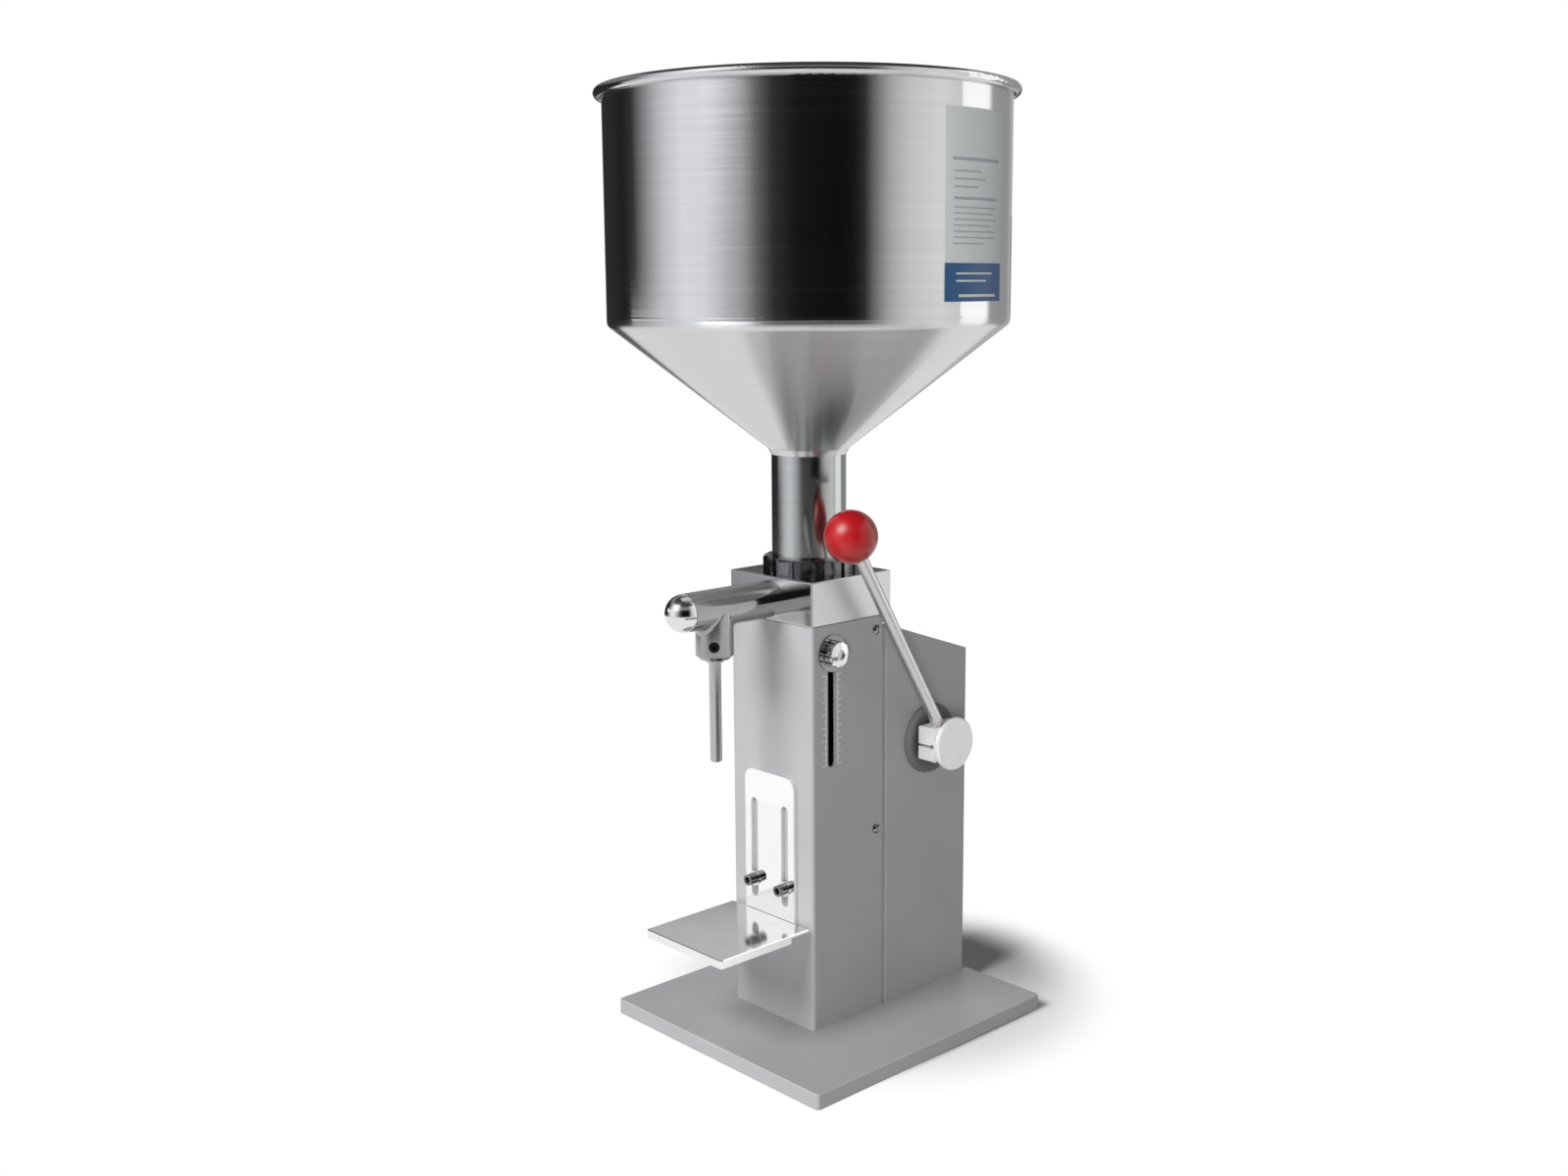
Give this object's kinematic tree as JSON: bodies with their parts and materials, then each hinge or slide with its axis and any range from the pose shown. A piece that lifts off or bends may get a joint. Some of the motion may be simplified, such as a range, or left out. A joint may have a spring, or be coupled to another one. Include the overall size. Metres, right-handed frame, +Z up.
{
  "type": "piston paste filling machine",
  "caption": "Bench-top hand-lever piston filler: open steel hopper over a pump head, outlet tee with nozzle, sliding bottle platform and adjustable stroke stop on a painted column.",
  "frame": {"origin": "on the underside of the base plate, straight below the axis of the hopper and the pump", "axes": "+Z up along the hopper's axis, -Y to the front where the outlet and the bottle platform are, +X to the lever's side"},
  "size_m": [0.312, 0.312, 0.718],
  "materials": {
    "paint": "light grey semi-matt paint",
    "brushed": "stainless sheet, brushed round the hopper",
    "polished": "polished stainless steel",
    "rod": "fine-turned stainless bar",
    "steel": "machined steel",
    "zinc": "bright zinc plate",
    "spring": "stainless spring wire",
    "bronze": "plain bearing bronze",
    "gasket": "white food-grade silicone",
    "seal": "black nitrile rubber",
    "ball": "glossy red moulded ball"
  },
  "bodies": {
    "machine": {"base_plate": "paint", "front_column": "paint", "rear_cover": "paint", "cover_screws": "zinc", "foot_screws": "zinc", "foot_nuts": "zinc", "pump_head": "polished", "head_screws": "zinc", "hopper_wall": "brushed", "hopper_cone": "brushed", "hopper_neck": "polished", "hopper_gasket": "gasket", "ring_nut": "polished", "inlet_spider": "polished", "inlet_spring": "spring", "outlet_tee": "polished", "nozzle_screw": "zinc", "outlet_cap": "polished", "outlet_spring": "spring", "nozzle": "polished", "cylinder": "steel", "cylinder_gasket": "gasket", "cylinder_screws": "zinc", "rack_guide": "bronze", "guide_screw": "zinc", "bearing_bracket_left": "steel", "bearing_bracket_right": "steel", "bracket_screws": "zinc", "shaft_bushes": "bronze", "shaft_guard": "seal", "platform_screws": "zinc", "platform_washers": "zinc", "platform_nuts": "zinc"},
    "lever": {"lever_shaft": "steel", "shaft_circlip": "spring", "shaft_spacers": "steel", "toothed_sector": "steel", "sector_pin": "steel", "lever_hub": "polished", "hub_screw": "zinc", "lever_rod": "rod", "ball_knob": "ball"},
    "piston": {"rack": "steel", "stop_post": "steel", "piston_rod": "steel", "rod_nut": "zinc", "piston": "steel", "piston_seals": "seal", "piston_nut": "zinc"},
    "platform": {"platform_bracket": "polished", "platform_shelf": "polished"},
    "stroke_stop": {"stop_block": "steel", "stop_stud": "zinc", "stop_washer": "rod"},
    "stop_knob": {"stop_knob": "polished"},
    "inlet_valve": {"inlet_valve": "polished", "inlet_spring_cap": "polished"},
    "outlet_valve": {"outlet_valve": "polished"}
  },
  "joints": [
    {"name": "lever_swing", "type": "hinge", "parent": "machine", "child": "lever", "pos_m": [0, 0.0875, 0.221], "axis": [1, 0, 0], "range_deg": [0, 64]},
    {"name": "piston_slide", "type": "slide", "parent": "machine", "child": "piston", "axis": [0, 0, 1], "range_m": [-0.0626, 0]},
    {"name": "platform_slide", "type": "slide", "parent": "machine", "child": "platform", "axis": [0, 0, 1], "range_m": [-0.062, 0.011]},
    {"name": "stop_slide", "type": "slide", "parent": "machine", "child": "stroke_stop", "axis": [0, 0, 1], "range_m": [-0.084, 0]},
    {"name": "stop_knob_turn", "type": "hinge", "parent": "stroke_stop", "child": "stop_knob", "pos_m": [0.045, -0.0205, 0.3065], "axis": [1, 0, 0], "range_deg": [0, 180]},
    {"name": "inlet_valve_lift", "type": "slide", "parent": "machine", "child": "inlet_valve", "axis": [0, 0, 1], "range_m": [-0.005, 0], "stiffness_N_per_m": 400, "springref_m": 0.004, "deforming": ["inlet_spring"]},
    {"name": "outlet_valve_lift", "type": "slide", "parent": "machine", "child": "outlet_valve", "axis": [0, -1, 0], "range_m": [0, 0.005], "stiffness_N_per_m": 400, "springref_m": -0.004, "deforming": ["outlet_spring"]}
  ],
  "couplings": [
    {"joint": "piston_slide", "follows": "lever_swing", "m_per_rad": -0.056}
  ]
}
